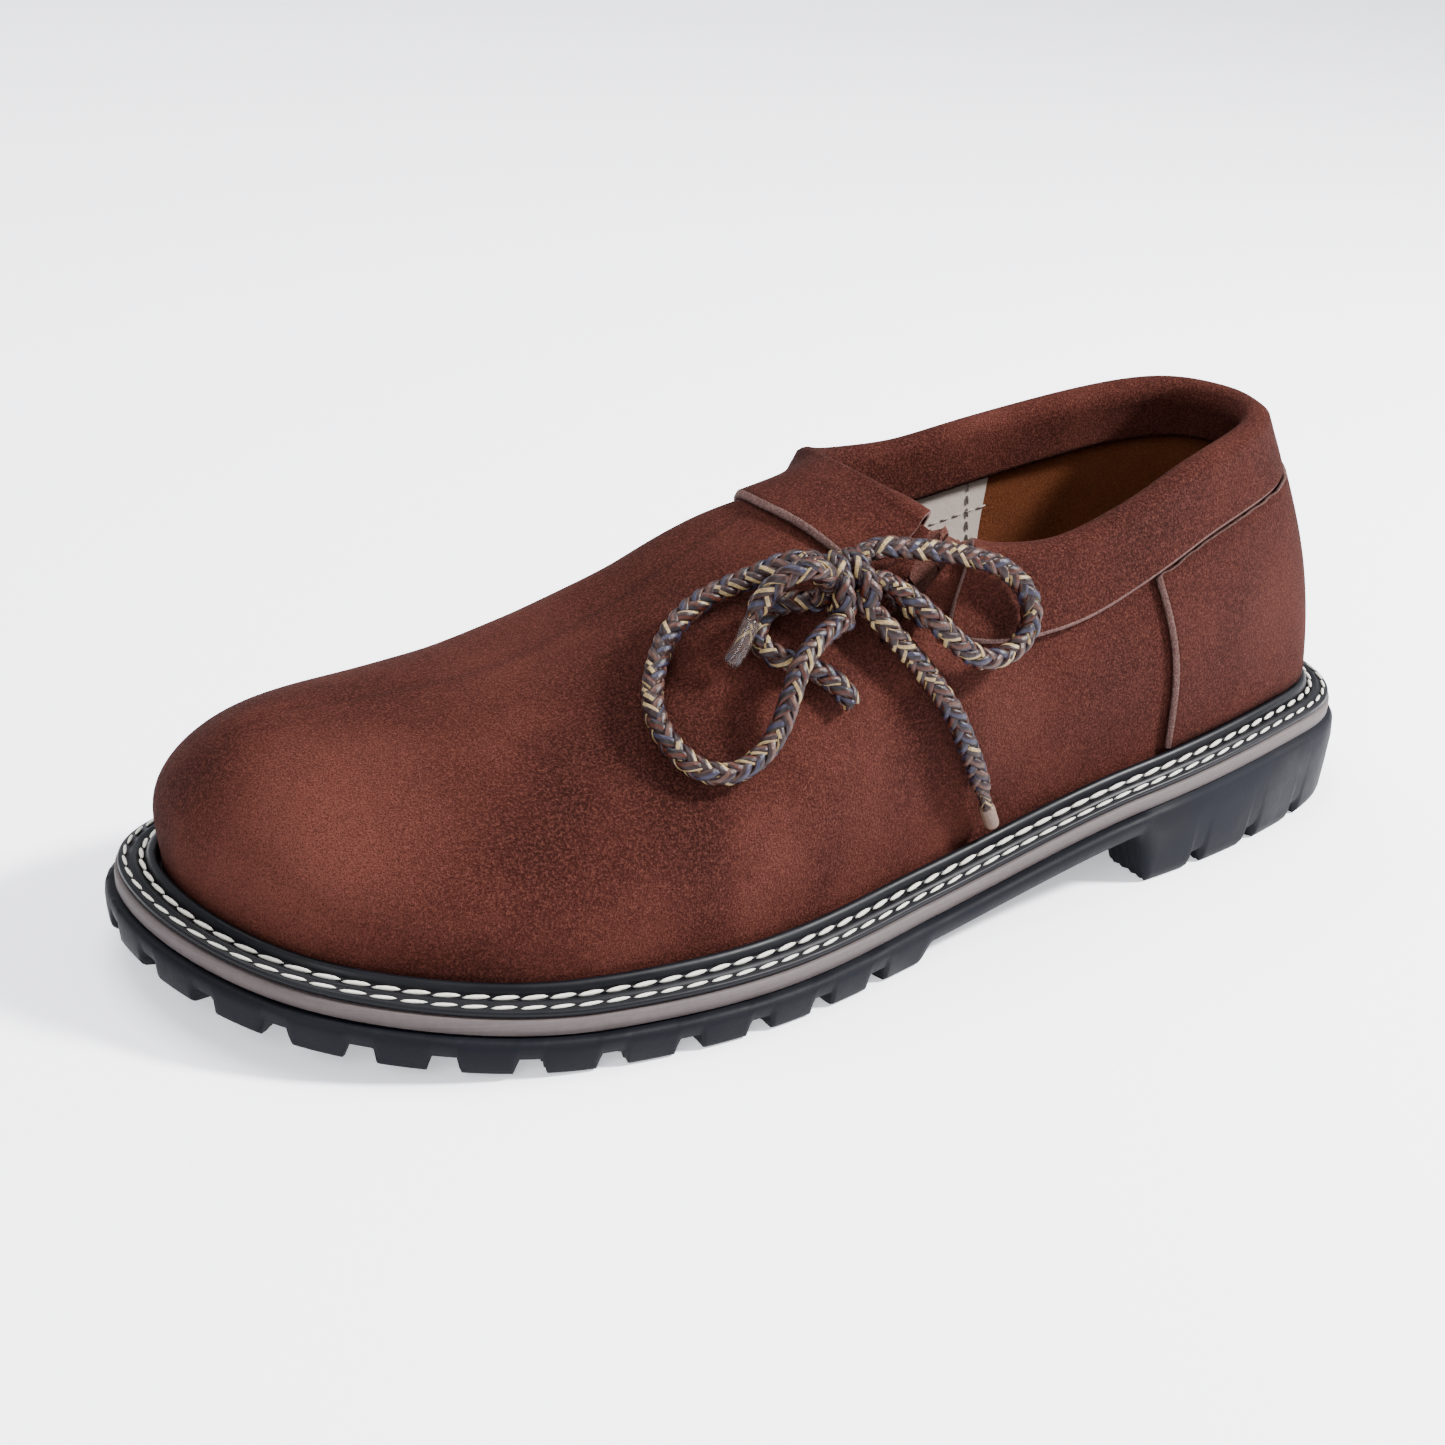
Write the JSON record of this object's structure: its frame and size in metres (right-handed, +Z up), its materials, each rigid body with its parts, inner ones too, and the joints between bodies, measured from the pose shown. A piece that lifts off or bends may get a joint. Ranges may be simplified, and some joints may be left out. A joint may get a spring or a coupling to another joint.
{
  "type": "traditional shoe",
  "caption": "Left traditional shoe in reddish-brown suede with a folded collar band, side slit, corded lace and a black lugged rubber sole.",
  "frame": {"origin": "middle of the sole's outline on the floor", "axes": "+X from the heel to the toe, +Y to the wearer's left, the outer side of this left shoe, +Z up"},
  "size_m": [0.3002, 0.1182, 0.0946],
  "materials": {
    "outsole": "matte moulded rubber",
    "midsole": "matte",
    "welt": "satin, with two rows of white stitches",
    "insole": "matte",
    "upper": "suede with a short nap",
    "collar_band": "suede, raw edge",
    "back_panel": "suede, raw edge",
    "tongue": "suede, pinked edge",
    "lace": "round braided cord of dark brown, rust, cream and blue-grey strands"
  },
  "bodies": {
    "root": {"outsole": "outsole", "midsole": "midsole", "welt": "welt", "insole": "insole", "upper": "upper", "collar_band": "collar_band", "back_panel": "back_panel", "tongue": "tongue", "lace_bar": "lace", "lace_knot": "lace", "lace_loop_front": "lace", "lace_loop_rear": "lace", "lace_end_front": "lace", "lace_end_rear": "lace", "lace_tail": "lace"}
  },
  "joints": []
}
